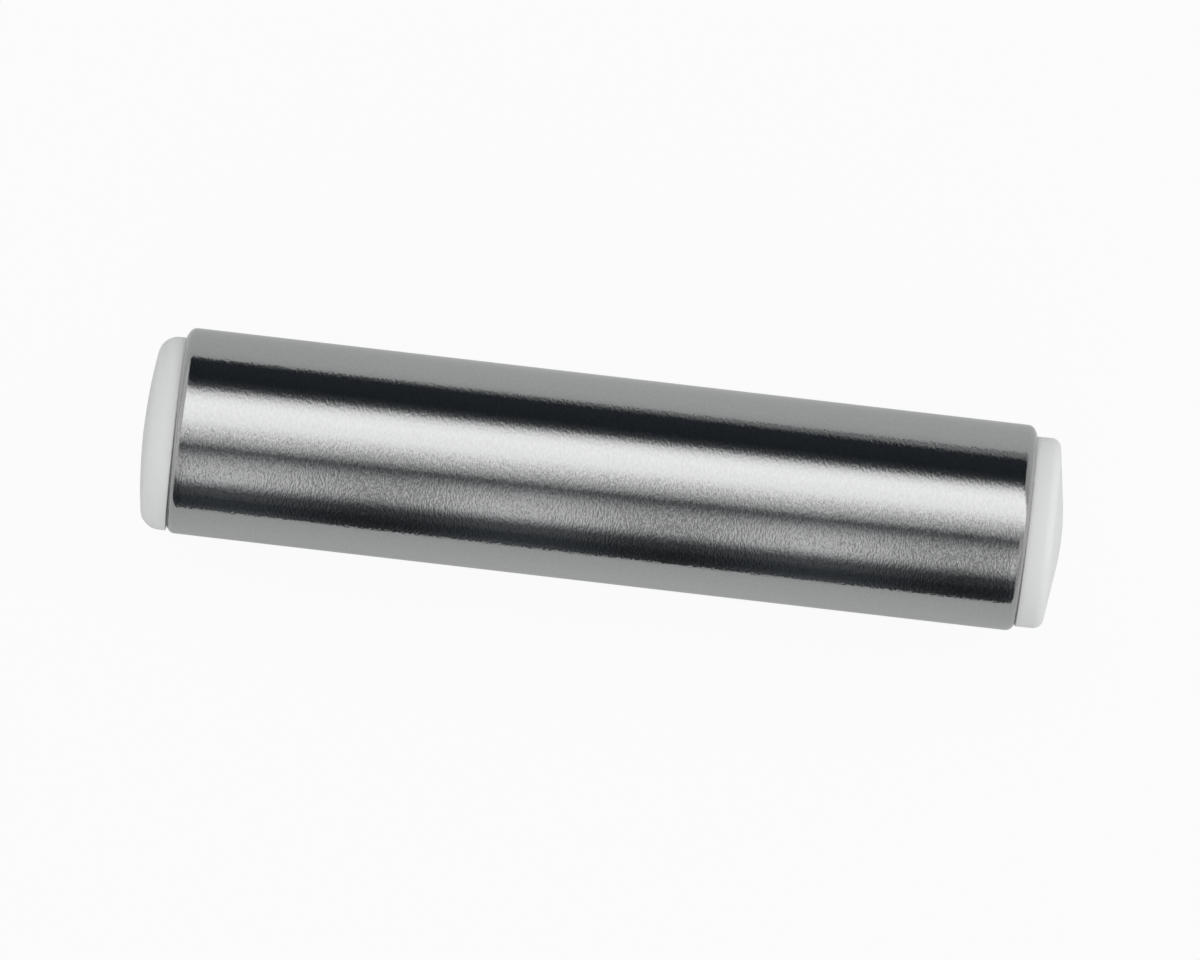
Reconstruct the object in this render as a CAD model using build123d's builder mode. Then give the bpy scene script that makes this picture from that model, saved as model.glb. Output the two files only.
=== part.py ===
from build123d import *
from math import cos, radians, sin, sqrt, tan
import os

# A piston pin for a large V-twin motorcycle engine: a ground steel tube with a loose PTFE button in
# each end. The buttons are softer than the cylinder wall, so the pin can float without clips.
#
# Sizes are in millimetres. The tube's axis lies along X, +Z is up, and the origin is at the middle
# of the tube, on its axis. In a profile, x is the distance out along the axis and y is the radius.

# The steel tube
pin_length = 83.1
pin_diameter = 20.1
bore_diameter = 12.7
edge_length = 0.45  # the outer chamfer at each end, measured along the axis
edge_depth = 0.75  # the same chamfer, measured towards the axis
edge_round = 0.8  # where the chamfer meets the ground diameter
mouth_chamfer = 0.8  # at the bore's two mouths

# Both buttons
stem_play = 0.55  # radial clearance of a stem in the bore
stem_length = 12.0

# The left button, with a domed crown
left_rest_gap = 0.12  # what is left of the play on the side that the button has moved to
left_rim_inset = 0.62  # how far the rim stays inside the tube's radius
left_crown_height = 3.2
left_dome_radius = 52.0
left_corner_round = 1.95

# The right button, with a conical crown
right_rest_gap = 0.27
right_rim_inset = 0.76
right_crown_height = 3.53
right_cone_slope = 8.0  # degrees between the crown and a flat face
right_tip_radius = 24.0
right_corner_round = 0.97
right_head_lean = 0.65  # degrees between the head's axis and the stem's

pin_radius = pin_diameter / 2
bore_radius = bore_diameter / 2
pin_end = pin_length / 2
stem_radius = bore_radius - stem_play

# Each button's head sits on the end of the tube. Both have moved sideways in the bore, towards -Y.
left_seat = Plane((-pin_end, left_rest_gap - stem_play, 0), x_dir=(-1, 0, 0), z_dir=(0, 0, -1))
right_seat = Plane((pin_end, right_rest_gap - stem_play, 0), x_dir=(1, 0, 0), z_dir=(0, 0, 1))


def turning_axis(plane):
    """The line that a profile drawn on this plane is turned about."""
    return Axis(plane.origin, plane.x_dir)


# Half of a stem's lengthwise section, from the axis out. Both buttons have the same stem.
with BuildSketch() as stem_section:
    with BuildLine():
        Polyline(
            (-stem_length, 0),
            (-stem_length, stem_radius),
            (0, stem_radius),
            (0, 0),
            close=True,
        )
    make_face()


# The pin is a length of alloy steel tube, hardened and ground outside. Each end is faced square and
# chamfered, and a round blends each chamfer into the ground diameter.
with BuildPart() as pin:
    with BuildSketch() as pin_section:
        with BuildLine():
            Polyline(
                (-pin_end + mouth_chamfer, bore_radius),
                (-pin_end, bore_radius + mouth_chamfer),
                (-pin_end, pin_radius - edge_depth),
                (-pin_end + edge_length, pin_radius),
                (pin_end - edge_length, pin_radius),
                (pin_end, pin_radius - edge_depth),
                (pin_end, bore_radius + mouth_chamfer),
                (pin_end - mouth_chamfer, bore_radius),
                close=True,
            )
        make_face()
        fillet(pin_section.vertices().group_by(Axis.Y)[-1], edge_round)
    revolve(axis=Axis.X)
pin.part.label = "pin"


# The left button is turned from PTFE bar in one piece: a stem, a head wider than the bore, and a
# crown that is a shallow dome with a large round at its rim.
left_rim_radius = pin_radius - left_rim_inset
left_dome_drop = left_dome_radius - sqrt(left_dome_radius**2 - left_rim_radius**2)
left_rim_height = left_crown_height - left_dome_drop
with BuildPart() as left_button:
    with BuildSketch(left_seat) as left_head_section:
        with BuildLine():
            rim_and_back = Polyline(
                (left_rim_height, left_rim_radius),
                (0, left_rim_radius),
                (0, 0),
                (left_crown_height, 0),
            )
            RadiusArc(rim_and_back @ 0, rim_and_back @ 1, left_dome_radius)
        make_face()
        rim_corner = left_head_section.vertices().group_by(Axis.Y)[-1].sort_by(Axis.X)[-1]
        fillet(rim_corner, left_corner_round)
        add(stem_section.sketch)
    revolve(axis=turning_axis(left_seat))
left_button.part.label = "left_button"


# The right button was turned in two settings. The stem and the back of the head are square to the
# tube, but the rim and the crown, a flat cone with a rounded tip, lean a little towards +Y.
right_rim_radius = pin_radius - right_rim_inset
head_plane = right_seat.rotated((0, 0, right_head_lean))
slope = radians(right_cone_slope)
tip_edge_height = right_crown_height - right_tip_radius * (1 - cos(slope))
tip_edge_radius = right_tip_radius * sin(slope)
right_rim_height = tip_edge_height - (right_rim_radius - tip_edge_radius) * tan(slope)
with BuildPart() as right_button:
    with BuildSketch(head_plane) as right_head_section:
        with BuildLine():
            crown_and_rim = Polyline(
                (tip_edge_height, tip_edge_radius),
                (right_rim_height, right_rim_radius),
                (-right_crown_height, right_rim_radius),
                (-right_crown_height, 0),
                (right_crown_height, 0),
            )
            RadiusArc(crown_and_rim @ 0, crown_and_rim @ 1, right_tip_radius)
        make_face()
        rim_corner = right_head_section.vertices().group_by(Axis.Y)[-1].sort_by(Axis.X)[-1]
        fillet(rim_corner, right_corner_round)
    revolve(axis=turning_axis(head_plane))
    split(bisect_by=Plane(right_seat.origin, z_dir=right_seat.x_dir), keep=Keep.TOP)
    with BuildSketch(right_seat):
        add(stem_section.sketch)
    revolve(axis=turning_axis(right_seat))
right_button.part.label = "right_button"


os.makedirs("parts", exist_ok=True)
for piece in (pin, left_button, right_button):
    export_step(piece.part, f"parts/{piece.part.label}.step")
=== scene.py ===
from math import acos, asin, cos, pi, radians, sin, sqrt, tan

import bmesh
import bpy
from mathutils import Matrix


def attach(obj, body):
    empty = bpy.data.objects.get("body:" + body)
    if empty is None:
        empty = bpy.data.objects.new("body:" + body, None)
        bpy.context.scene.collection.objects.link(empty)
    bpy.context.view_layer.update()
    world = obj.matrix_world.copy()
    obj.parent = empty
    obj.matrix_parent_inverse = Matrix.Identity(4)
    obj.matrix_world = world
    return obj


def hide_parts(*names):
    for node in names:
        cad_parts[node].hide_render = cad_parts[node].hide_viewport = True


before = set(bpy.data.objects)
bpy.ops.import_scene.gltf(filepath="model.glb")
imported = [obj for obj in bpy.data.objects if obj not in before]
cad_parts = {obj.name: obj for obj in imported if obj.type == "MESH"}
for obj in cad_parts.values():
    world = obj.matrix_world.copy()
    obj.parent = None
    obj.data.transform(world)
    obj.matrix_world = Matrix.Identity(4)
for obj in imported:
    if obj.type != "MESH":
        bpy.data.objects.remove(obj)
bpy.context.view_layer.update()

# The steel tube.
# A length of alloy steel tube, hardened, ground between centres and lapped. Both ends are faced
# square and chamfered, and a small round blends each chamfer into the ground diameter.
mm = 0.001
pin_end = 83.1 / 2
pin_radius = 20.1 / 2
bore_radius = 12.7 / 2
mouth_chamfer = 0.8
edge_length = 0.45
edge_depth = 0.75
edge_round = 0.8
edge_break = 0.05
ring_spacing = 2.4  # between the mesh's rings along the ground outside
rings_per_half = 16
last_ring = 40.2
stroke_counts = (4900, 2500, 2500)  # grinding strokes per metre along X, Y and Z
stroke_depth = 0.0000105
steel_tones = ((0.505, 0.505, 0.505, 1), (0.545, 0.545, 0.545, 1))
steel_roughness = (0.06, 0.09)


def rounded(corners, steps=8):
    """The profile through these (x, r, round) corners, with an arc at each one that has a round."""
    points = []
    for i, (x, r, size) in enumerate(corners):
        if not size:
            points.append((x, r))
            continue
        sides = []
        for neighbour in (corners[i - 1], corners[(i + 1) % len(corners)]):
            run, rise = neighbour[0] - x, neighbour[1] - r
            length = sqrt(run**2 + rise**2)
            sides.append((run / length, rise / length))
        (ax, ar), (bx, br) = sides
        half_cos = sqrt((1 + ax * bx + ar * br) / 2)
        half_sin = sqrt(1 - half_cos**2)
        reach = size * half_cos / half_sin
        mx, mr = ax + bx, ar + br
        middle = sqrt(mx**2 + mr**2)
        cx, cr = x + mx / middle * size / half_sin, r + mr / middle * size / half_sin
        start = (x + ax * reach - cx, r + ar * reach - cr)
        end = (x + bx * reach - cx, r + br * reach - cr)
        cross = start[0] * end[1] - start[1] * end[0]
        turn = (pi - 2 * acos(half_cos)) * (1 if cross > 0 else -1)
        for step in range(steps + 1):
            c, s = cos(turn * step / steps), sin(turn * step / steps)
            points.append((cx + c * start[0] - s * start[1], cr + s * start[0] + c * start[1]))
    return points


def turned(name, points, sides=256, closed=False, sharp_angle=22):
    """A piece turned about X from its lengthwise profile of (x, r) points, in millimetres."""
    bm = bmesh.new()
    rings = []
    for x, r in points:
        if r == 0:
            rings.append([bm.verts.new((x * mm, 0, 0))])
            continue
        angles = [2 * pi * i / sides for i in range(sides)]
        rings.append([bm.verts.new((x * mm, r * mm * sin(a), r * mm * cos(a))) for a in angles])
    pairs = list(zip(rings, rings[1:]))
    if closed:
        pairs.append((rings[-1], rings[0]))
    for one, two in pairs:
        for i in range(sides):
            j = (i + 1) % sides
            corners = [one[i % len(one)], one[j % len(one)], two[j % len(two)], two[i % len(two)]]
            # A ring on the axis is one vertex, so a face there has three corners.
            bm.faces.new(list(dict.fromkeys(corners)))
    bmesh.ops.recalc_face_normals(bm, faces=bm.faces)
    mesh = bpy.data.meshes.new(name)
    bm.to_mesh(mesh)
    bm.free()
    mesh.shade_smooth()
    mesh.set_sharp_from_angle(angle=radians(sharp_angle))
    piece = bpy.data.objects.new(name, mesh)
    bpy.context.scene.collection.objects.link(piece)
    return piece


def new_material(name):
    """A new material and its node tree."""
    material = bpy.data.materials.new(name)
    material.use_nodes = True
    return material, material.node_tree


def map_range(tree, value, start, end, low=0, high=1):
    """The output of a node that takes start to low and end to high."""
    node = tree.nodes.new("ShaderNodeMapRange")
    node.inputs["From Min"].default_value = start
    node.inputs["From Max"].default_value = end
    node.inputs["To Min"].default_value = low
    node.inputs["To Max"].default_value = high
    tree.links.new(value, node.inputs["Value"])
    return node.outputs["Result"]


def tool_marks(tree, shader, place, depth, tones, roughness, scale=1):
    """Give a shader the bump, tone and roughness that follow one noise, sampled at place."""
    marks = tree.nodes.new("ShaderNodeTexNoise")
    marks.inputs["Scale"].default_value = scale
    marks.inputs["Detail"].default_value = 1
    tree.links.new(place, marks.inputs["Vector"])
    bump = tree.nodes.new("ShaderNodeBump")
    bump.inputs["Strength"].default_value = 1
    bump.inputs["Distance"].default_value = depth
    tree.links.new(marks.outputs["Fac"], bump.inputs["Height"])
    tree.links.new(bump.outputs["Normal"], shader.inputs["Normal"])
    # Nearly all of the noise lies between these two values.
    lowest, highest = 0.3, 0.7
    tone = tree.nodes.new("ShaderNodeValToRGB")
    for element, position, color in zip(tone.color_ramp.elements, (lowest, highest), tones):
        element.position = position
        element.color = color
    tree.links.new(marks.outputs["Fac"], tone.inputs["Fac"])
    tree.links.new(tone.outputs["Color"], shader.inputs["Base Color"])
    gloss = map_range(tree, marks.outputs["Fac"], lowest, highest, *roughness)
    tree.links.new(gloss, shader.inputs["Roughness"])


# The outside: fine strokes from the wheel run round the tube, each a few tenths of a millimetre
# long, so the surface is smooth along a stroke and rough across it.
ground_steel, tree = new_material("ground_steel")
shader = tree.nodes["Principled BSDF"]
shader.inputs["Metallic"].default_value = 1
shader.inputs["Anisotropic"].default_value = 0.7
shader.inputs["Anisotropic Rotation"].default_value = 0.25
tangent = tree.nodes.new("ShaderNodeTangent")
tangent.direction_type = "RADIAL"
tangent.axis = "X"
tree.links.new(tangent.outputs["Tangent"], shader.inputs["Tangent"])
place = tree.nodes.new("ShaderNodeTexCoord")
stroke_place = tree.nodes.new("ShaderNodeMapping")
stroke_place.inputs["Scale"].default_value = stroke_counts
tree.links.new(place.outputs["Object"], stroke_place.inputs["Vector"])
tool_marks(tree, shader, stroke_place.outputs["Vector"], stroke_depth, steel_tones, steel_roughness)

# The tube's section, from the left mouth of the bore, over the outside to the right mouth.
end_radius = pin_radius - edge_depth
mouth_radius = bore_radius + mouth_chamfer
left_side = [
    (-pin_end + mouth_chamfer, bore_radius, 0),
    (-pin_end, mouth_radius, edge_break),
    (-pin_end, end_radius, edge_break),
    (-pin_end + edge_length, pin_radius, edge_round),
]
right_side = [
    (pin_end - edge_length, pin_radius, edge_round),
    (pin_end, end_radius, edge_break),
    (pin_end, mouth_radius, edge_break),
    (pin_end - mouth_chamfer, bore_radius, 0),
]
ring_steps = range(-rings_per_half, rings_per_half + 1)
barrel = [(step * ring_spacing, pin_radius, 0) for step in ring_steps]
barrel = [(-last_ring, pin_radius, 0)] + barrel + [(last_ring, pin_radius, 0)]
pin = turned("steel_tube", rounded(left_side + barrel + right_side), closed=True)
pin.data.materials.append(ground_steel)
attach(pin, "root")
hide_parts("pin")

# The left button.
# Turned in one piece from PTFE bar: a stem that is loose in the bore, a head wider than the bore,
# and a shallow domed crown with a large round at its rim. It has moved sideways in the bore.
stem_play = 0.55
stem_radius = bore_radius - stem_play
stem_length = 12.0
left_shift = 0.12 - stem_play
left_rim_radius = pin_radius - 0.62
left_crown_height = 3.2
left_dome_radius = 52.0
left_corner_round = 1.95
round_steps = 16
dome_steps = 20
ring_count = 130  # tool marks across the whole button
ring_depth = 0.000002
ptfe_tones = ((0.91, 0.92, 0.915, 1), (0.93, 0.94, 0.935, 1))
ptfe_roughness = (0.39, 0.45)

ptfe, tree = new_material("ptfe")
shader = tree.nodes["Principled BSDF"]
shader.inputs["IOR"].default_value = 1.35
shader.inputs["Subsurface Weight"].default_value = 1
shader.inputs["Subsurface Radius"].default_value = (1, 1, 1)
shader.inputs["Subsurface Scale"].default_value = 0.5 * mm
# The lathe tool leaves faint rings about the button's own axis, a seventh of a millimetre apart.
place = tree.nodes.new("ShaderNodeTexCoord")
centred = tree.nodes.new("ShaderNodeMapping")
centred.inputs["Location"].default_value = (0, -0.5, -0.5)
centred.inputs["Scale"].default_value = (0, 1, 1)
tree.links.new(place.outputs["Generated"], centred.inputs["Vector"])
off_axis = tree.nodes.new("ShaderNodeVectorMath")
off_axis.operation = "LENGTH"
tree.links.new(centred.outputs["Vector"], off_axis.inputs[0])
split = tree.nodes.new("ShaderNodeSeparateXYZ")
tree.links.new(place.outputs["Generated"], split.inputs["Vector"])
section_place = tree.nodes.new("ShaderNodeCombineXYZ")
tree.links.new(split.outputs["X"], section_place.inputs["X"])
tree.links.new(off_axis.outputs["Value"], section_place.inputs["Y"])
ring_place = section_place.outputs["Vector"]
tool_marks(tree, shader, ring_place, ring_depth, ptfe_tones, ptfe_roughness, scale=ring_count)

stem = [
    (-stem_length, 0, 0),
    (-stem_length, stem_radius, edge_break),
    (0, stem_radius, 0),
]
# The round is tangent to the rim and to the inside of the dome.
dome_centre = left_crown_height - left_dome_radius
round_radius = left_rim_radius - left_corner_round
round_centre = dome_centre + sqrt((left_dome_radius - left_corner_round) ** 2 - round_radius**2)
dome_edge = asin(round_radius / (left_dome_radius - left_corner_round))
head = [(0, left_rim_radius, edge_break)]
for step in range(round_steps + 1):
    angle = pi / 2 + (dome_edge - pi / 2) * step / round_steps
    x = round_centre + left_corner_round * cos(angle)
    head.append((x, round_radius + left_corner_round * sin(angle), 0))
for step in range(1, dome_steps + 1):
    angle = dome_edge * (1 - step / dome_steps)
    head.append((dome_centre + left_dome_radius * cos(angle), left_dome_radius * sin(angle), 0))
left_button = turned("left_button_turned", rounded(stem + head))
# The profile points along +X, and the left button faces -X.
for vertex in left_button.data.vertices:
    x, y, z = vertex.co
    vertex.co = (-pin_end * mm - x, left_shift * mm + y, z)
left_button.data.flip_normals()
left_button.data.materials.append(ptfe)
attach(left_button, "root")
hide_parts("left_button")

# The right button.
# The same stem, with a flat cone for a crown. It was turned in two settings: the stem and the back
# of the head are square to the tube, but the rim and the crown lean a little towards +Y.
right_shift = 0.27 - stem_play
right_rim_radius = pin_radius - 0.76
right_crown_height = 3.53
cone_slope = radians(8.0)
right_tip_radius = 24.0
right_corner_round = 0.97
head_lean = radians(0.65)
square_back = edge_break * 1.01  # the head leans from here on
tip_steps = 12

tip_edge_radius = right_tip_radius * sin(cone_slope)
tip_edge_height = right_crown_height - right_tip_radius * (1 - cos(cone_slope))
rim_height = tip_edge_height - (right_rim_radius - tip_edge_radius) * tan(cone_slope)
head = [
    (0, right_rim_radius, edge_break),
    (rim_height, right_rim_radius, right_corner_round),
]
for step in range(tip_steps + 1):
    angle = cone_slope * (1 - step / tip_steps)
    height = right_crown_height - right_tip_radius * (1 - cos(angle))
    head.append((height, right_tip_radius * sin(angle), 0))
right_button = turned("right_button_turned", rounded(stem + head))
for vertex in right_button.data.vertices:
    x, y, z = vertex.co
    if x > square_back * mm:
        x, y = x * cos(head_lean) - y * sin(head_lean), x * sin(head_lean) + y * cos(head_lean)
    vertex.co = (pin_end * mm + x, right_shift * mm + y, z)
right_button.data.materials.append(ptfe)
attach(right_button, "root")
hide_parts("right_button")

# The bench.
# A wide sheet of pale card that the pin lies on. To the camera it is nearly white, with a faint
# shadow. In the steel it glows a little close to the pin, a painted reflection that fades further
# off.
bench_size = 6
camera_white = 0.94
# How strongly the card glows in the steel next to the pin: a painted reflection.
mirror_glow = 0.2
mirror_near = 0.02
mirror_far = 0.12


def calculate(tree, operation, *values):
    """The output of a Math node. Each value is a number or another node's output."""
    node = tree.nodes.new("ShaderNodeMath")
    node.operation = operation
    for socket, value in zip(node.inputs, values):
        if isinstance(value, bpy.types.NodeSocket):
            tree.links.new(value, socket)
        else:
            socket.default_value = value
    return node.outputs["Value"]


bpy.ops.mesh.primitive_plane_add(size=bench_size, location=(0, 0, -pin_radius * mm))
bench = bpy.context.object
bench.name = "bench"
card, tree = new_material("pale_card")
shader = tree.nodes["Principled BSDF"]
shader.inputs["Base Color"].default_value = (0.635, 0.645, 0.643, 1)
shader.inputs["Roughness"].default_value = 0.9
shader.inputs["Specular IOR Level"].default_value = 0
white = tree.nodes.new("ShaderNodeEmission")
white.inputs["Strength"].default_value = 1
rays = tree.nodes.new("ShaderNodeLightPath")
seen = calculate(tree, "MULTIPLY", rays.outputs["Is Camera Ray"], camera_white)
mirrored = calculate(
    tree, "MAXIMUM", rays.outputs["Is Glossy Ray"], rays.outputs["Is Transmission Ray"]
)
place = tree.nodes.new("ShaderNodeTexCoord")
distance = tree.nodes.new("ShaderNodeVectorMath")
distance.operation = "LENGTH"
tree.links.new(place.outputs["Object"], distance.inputs[0])
# Painted reflection: close to the pin the card glows for rays from the steel, fading to nothing by
# mirror_far.
painted_reflection_glow = map_range(tree, distance.outputs["Value"], mirror_near, mirror_far, mirror_glow, 0)
white_share = calculate(tree, "MULTIPLY_ADD", mirrored, painted_reflection_glow, seen)
mix = tree.nodes.new("ShaderNodeMixShader")
tree.links.new(white_share, mix.inputs[0])
tree.links.new(shader.outputs["BSDF"], mix.inputs[1])
tree.links.new(white.outputs["Emission"], mix.inputs[2])
tree.links.new(mix.outputs["Shader"], tree.nodes["Material Output"].inputs["Surface"])
bench.data.materials.append(card)

# The light tent.
# A half round tent of cloth over the bench, parallel to the pin. One wide bright stripe runs along
# its +Y side and a weaker one along its -Y side, and the rest of the cloth is dark.
tent_radius = 0.4
tent_shift = 0.19
tent_length = 4
tent_steps = 96
skew_reach = 0.12
skew = 0.092  # the share of its angle that a stripe comes in by, at skew_reach from the middle
cool_tint = 0.005
fold_spacing = 0.033
flat_middle = radians(30)
fold_start = radians(16)
fold_end = radians(27)
fold_depth = 0.63
right_fade = (0.13, 0.22)
right_grey = (0.44, 0.44, 0.44, 1)
left_fade = (-0.18, -0.34)
left_grey = (0.64, 0.64, 0.64, 1)

bm = bmesh.new()
rows = []
for side in (-1, 1):
    row = []
    for step in range(tent_steps + 1):
        angle = pi * (step / tent_steps - 0.5)
        across, up = tent_radius * sin(angle), tent_radius * cos(angle)
        point = (side * tent_length / 2, tent_shift + across, up - pin_radius * mm)
        row.append(bm.verts.new(point))
    rows.append(row)
for step in range(tent_steps):
    bm.faces.new((rows[0][step], rows[1][step], rows[1][step + 1], rows[0][step + 1]))
mesh = bpy.data.meshes.new("light_tent")
bm.to_mesh(mesh)
bm.free()
tent = bpy.data.objects.new("light_tent", mesh)
bpy.context.scene.collection.objects.link(tent)
tent.visible_camera = False
cloth, tree = new_material("tent_cloth")
tree.nodes.remove(tree.nodes["Principled BSDF"])
place = tree.nodes.new("ShaderNodeTexCoord")
split = tree.nodes.new("ShaderNodeSeparateXYZ")
tree.links.new(place.outputs["Object"], split.inputs["Vector"])
# The angle from straight up, about the pin's own axis.
around = calculate(tree, "ARCTAN2", split.outputs["Y"], split.outputs["Z"])
# The stripes on the +Y side come a little nearer to the top towards the right end.
widen = map_range(tree, split.outputs["X"], -skew_reach, skew_reach, -skew, skew)
front = calculate(tree, "MAXIMUM", around, 0)
skewed = calculate(tree, "MULTIPLY_ADD", widen, front, around)
lights = tree.nodes.new("ShaderNodeValToRGB")
lights.color_ramp.interpolation = "LINEAR"
# (degrees from straight up, towards +Y; brightness)
cloth_light = [
    (-90, 0.07),
    (-85, 0.04),
    (-76, 0.04),
    (-70, 0.07),
    (-64, 0.085),
    (-60, 0.17),
    (-56, 0.35),
    (-51, 0.55),
    (-45, 0.61),
    (-35, 0.565),
    (-28, 0.44),
    (-22, 0.25),
    (-18, 0.15),
    (-15.5, 0.14),
    (-11.5, 0.35),
    (-5, 0.65),
    (2, 0.92),
    (8, 1.18),
    (14, 1.38),
    (22, 1.45),
    (29, 1.50),
    (35, 1.43),
    (39.5, 1.25),
    (44, 0.89),
    (48, 0.36),
    (51, 0.12),
    (54, 0.05),
    (60, 0.023),
    (84, 0.03),
    (90, 0.26),
]
while len(lights.color_ramp.elements) < len(cloth_light):
    lights.color_ramp.elements.new(0.5)
# Every stop is put in its place before any is coloured.
for element, (angle, brightness) in zip(lights.color_ramp.elements, cloth_light):
    element.position = angle / 180 + 0.5
for element, (angle, brightness) in zip(lights.color_ramp.elements, cloth_light):
    element.color = (brightness - cool_tint, brightness, brightness + cool_tint, 1)
tree.links.new(map_range(tree, skewed, -pi / 2, pi / 2), lights.inputs["Fac"])
# The cloth hangs in folds, which are pulled flat in the bright stripe.
along = calculate(tree, "MULTIPLY", split.outputs["X"], -2 * pi / fold_spacing)
wave = calculate(tree, "SINE", along)
off_middle = calculate(tree, "ABSOLUTE", calculate(tree, "SUBTRACT", around, flat_middle))
depth = map_range(tree, off_middle, fold_start, fold_end, 0, fold_depth)
folds = calculate(tree, "MULTIPLY_ADD", wave, depth, 1)
# Beyond the right end of the pin the dark cloth gives way to grey, and beyond the left end there is
# only a paler grey.
right_cloth = tree.nodes.new("ShaderNodeMix")
right_cloth.data_type = "RGBA"
right_cloth.blend_type = "LIGHTEN"
past_right = map_range(tree, split.outputs["X"], *right_fade)
tree.links.new(past_right, right_cloth.inputs["Factor"])
tree.links.new(lights.outputs["Color"], right_cloth.inputs["A"])
right_cloth.inputs["B"].default_value = right_grey
left_cloth = tree.nodes.new("ShaderNodeMix")
left_cloth.data_type = "RGBA"
past_left = map_range(tree, split.outputs["X"], *left_fade)
tree.links.new(past_left, left_cloth.inputs["Factor"])
tree.links.new(right_cloth.outputs["Result"], left_cloth.inputs["A"])
left_cloth.inputs["B"].default_value = left_grey
glow = tree.nodes.new("ShaderNodeEmission")
tree.links.new(left_cloth.outputs["Result"], glow.inputs["Color"])
tree.links.new(folds, glow.inputs["Strength"])
tree.links.new(glow.outputs["Emission"], tree.nodes["Material Output"].inputs["Surface"])
tent.data.materials.append(cloth)

# The fill lamps.
# Soft lamps at the right end and on both sides, which light the buttons and the bench. They don't
# show in the steel.
fill_lamps = [
    # (place, tilt about X, tilt about Y, width, height, watts)
    ((1.2, 0, 0.25), 0, 78, 0.6, 0.4, 2.6),
    ((0, -0.17, 0.05), 90, 0, 1, 0.08, 0.26),
    ((0.45, 0.5, 0.07), -51, 81, 0.3, 0.1, 0.3),
]
for location, tilt_x, tilt_y, width, height, power in fill_lamps:
    lamp_data = bpy.data.lights.new("fill_lamp", "AREA")
    lamp_data.shape = "RECTANGLE"
    lamp_data.size = width
    lamp_data.size_y = height
    lamp_data.energy = power
    lamp = bpy.data.objects.new("fill_lamp", lamp_data)
    lamp.location = location
    lamp.rotation_euler = (radians(tilt_x), radians(tilt_y), 0)
    lamp.visible_glossy = False
    lamp.visible_camera = False
    bpy.context.scene.collection.objects.link(lamp)

# The room beyond the tent is white.
world = bpy.data.worlds.new("room")
world.use_nodes = True
bpy.context.scene.world = world
background = world.node_tree.nodes["Background"]
background.inputs["Color"].default_value = (1, 1, 1, 1)
background.inputs["Strength"].default_value = 1

# The camera looks straight down at the pin through a long lens.
camera_height = 1.45
camera_place = (-0.13 * mm, -0.105 * mm, camera_height)
camera_turn = radians(6.64)
view_width = 0.1167
camera_data = bpy.data.cameras.new("camera")
camera_data.sensor_width = 36
camera_data.lens = camera_data.sensor_width * camera_height / view_width
camera = bpy.data.objects.new("camera", camera_data)
camera.location = camera_place
camera.rotation_euler = (0, 0, camera_turn)
bpy.context.scene.collection.objects.link(camera)
bpy.context.scene.camera = camera
bpy.context.scene.view_settings.view_transform = "Standard"
